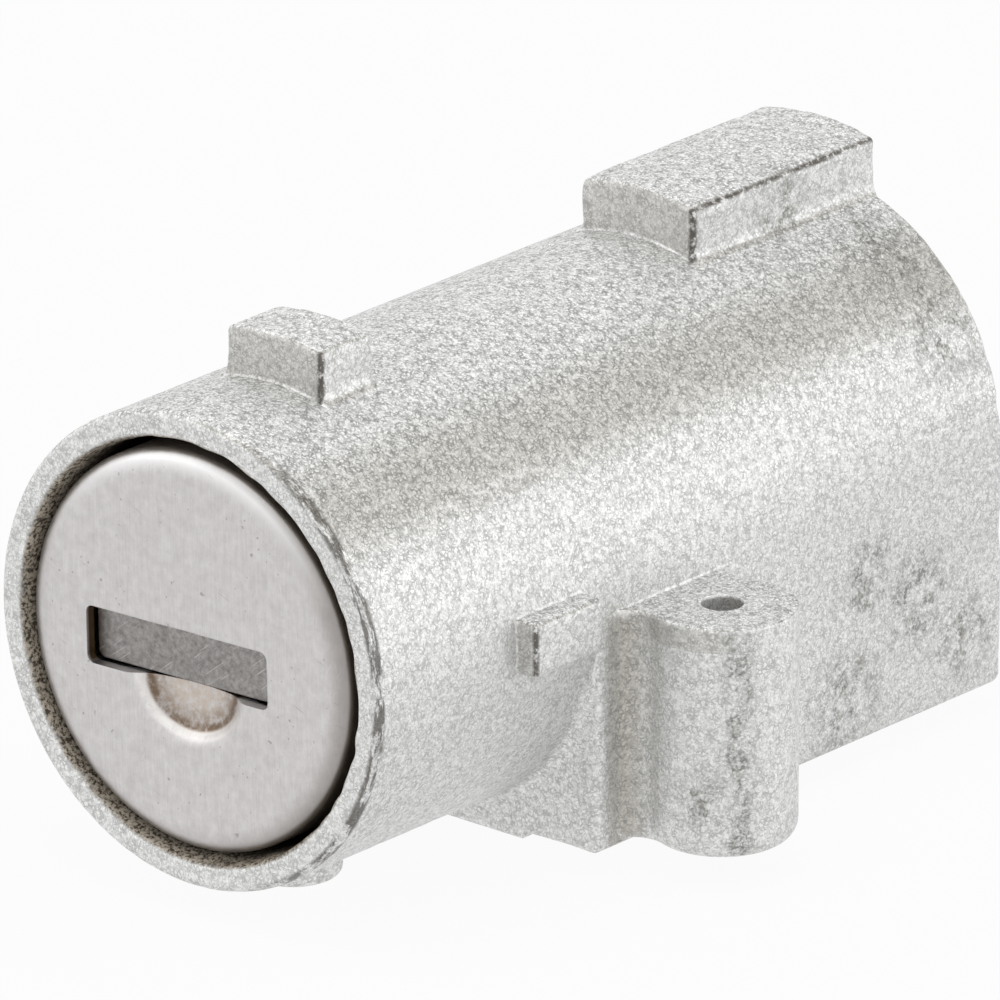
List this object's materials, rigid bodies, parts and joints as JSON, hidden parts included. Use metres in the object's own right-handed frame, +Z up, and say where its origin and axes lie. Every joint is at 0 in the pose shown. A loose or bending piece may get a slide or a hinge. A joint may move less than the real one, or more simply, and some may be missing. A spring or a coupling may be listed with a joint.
{
  "type": "bike battery lock",
  "caption": "Die-cast lock for a bicycle's battery: arched body with locating lugs and a screw boss, key plug with capped slot and shutter, and a sliding bolt.",
  "frame": {"origin": "middle of the bounding box in X and Y, at the height of the lowest point of the stub", "axes": "+Z up, -Y towards the key side along the lock's axis, +X towards the screw boss"},
  "size_m": [0.0256, 0.0392, 0.0235],
  "materials": {
    "cast_zinc": "bright tumbled die-cast zinc, grainy, with dark worn edges",
    "cast_plug": "cast zinc, satin",
    "brushed_cap": "brushed stainless sheet, scratched",
    "shutter_steel": "rolled steel sheet, scratched",
    "steel": "ground",
    "spring_steel": "drawn wire",
    "bolt_steel": "zinc plated",
    "brass": "stamped"
  },
  "bodies": {
    "housing": {"housing": "cast_zinc", "retaining_pin": "steel", "bolt_spring": "spring_steel"},
    "plug": {"plug": "cast_plug", "cap": "brushed_cap", "driver": "steel", "drive_pin": "steel", "shutter_pin": "steel", "shutter_spring": "spring_steel", "wafer_spring_1": "spring_steel", "wafer_spring_2": "spring_steel", "wafer_spring_3": "spring_steel", "wafer_spring_4": "spring_steel", "wafer_spring_5": "spring_steel", "wafer_spring_6": "spring_steel", "wafer_spring_7": "spring_steel"},
    "bolt": {"bolt": "bolt_steel"},
    "shutter": {"shutter": "shutter_steel"},
    "wafer_1": {"wafer_1": "brass"},
    "wafer_2": {"wafer_2": "brass"},
    "wafer_3": {"wafer_3": "brass"},
    "wafer_4": {"wafer_4": "brass"},
    "wafer_5": {"wafer_5": "brass"},
    "wafer_6": {"wafer_6": "brass"},
    "wafer_7": {"wafer_7": "brass"}
  },
  "joints": [
    {"name": "plug_turn", "type": "hinge", "parent": "housing", "child": "plug", "pos_m": [-0.00285, -0.01957, 0.0113], "axis": [0, 1, 0], "range_deg": [0, 90]},
    {"name": "bolt_slide", "type": "slide", "parent": "housing", "child": "bolt", "axis": [0, 0, -1], "range_m": [0, 0.00566], "deforming": ["bolt_spring"]},
    {"name": "shutter_swing", "type": "hinge", "parent": "plug", "child": "shutter", "pos_m": [-0.00291, -0.01808, 0.01325], "axis": [0.9996, 0, 0.0297], "range_deg": [0, 80], "stiffness_Nm_per_rad": 0.00002, "springref_deg": -28.65, "deforming": ["shutter_spring"]},
    {"name": "wafer_1_slide", "type": "slide", "parent": "plug", "child": "wafer_1", "axis": [-0.9996, 0, -0.0297], "range_m": [-0.0006, 0], "stiffness_N_per_m": 60, "deforming": ["wafer_spring_1"]},
    {"name": "wafer_2_slide", "type": "slide", "parent": "plug", "child": "wafer_2", "axis": [0.9996, 0, 0.0297], "range_m": [-0.0006, 0], "stiffness_N_per_m": 60, "deforming": ["wafer_spring_2"]},
    {"name": "wafer_3_slide", "type": "slide", "parent": "plug", "child": "wafer_3", "axis": [-0.9996, 0, -0.0297], "range_m": [-0.0006, 0], "stiffness_N_per_m": 60, "deforming": ["wafer_spring_3"]},
    {"name": "wafer_4_slide", "type": "slide", "parent": "plug", "child": "wafer_4", "axis": [0.9996, 0, 0.0297], "range_m": [-0.0006, 0], "stiffness_N_per_m": 60, "deforming": ["wafer_spring_4"]},
    {"name": "wafer_5_slide", "type": "slide", "parent": "plug", "child": "wafer_5", "axis": [-0.9996, 0, -0.0297], "range_m": [-0.0006, 0], "stiffness_N_per_m": 60, "deforming": ["wafer_spring_5"]},
    {"name": "wafer_6_slide", "type": "slide", "parent": "plug", "child": "wafer_6", "axis": [0.9996, 0, 0.0297], "range_m": [-0.0006, 0], "stiffness_N_per_m": 60, "deforming": ["wafer_spring_6"]},
    {"name": "wafer_7_slide", "type": "slide", "parent": "plug", "child": "wafer_7", "axis": [-0.9996, 0, -0.0297], "range_m": [-0.0006, 0], "stiffness_N_per_m": 60, "deforming": ["wafer_spring_7"]}
  ],
  "couplings": [
    {"joint": "plug_turn", "follows": "bolt_slide", "rad_per_m": 277.68}
  ]
}
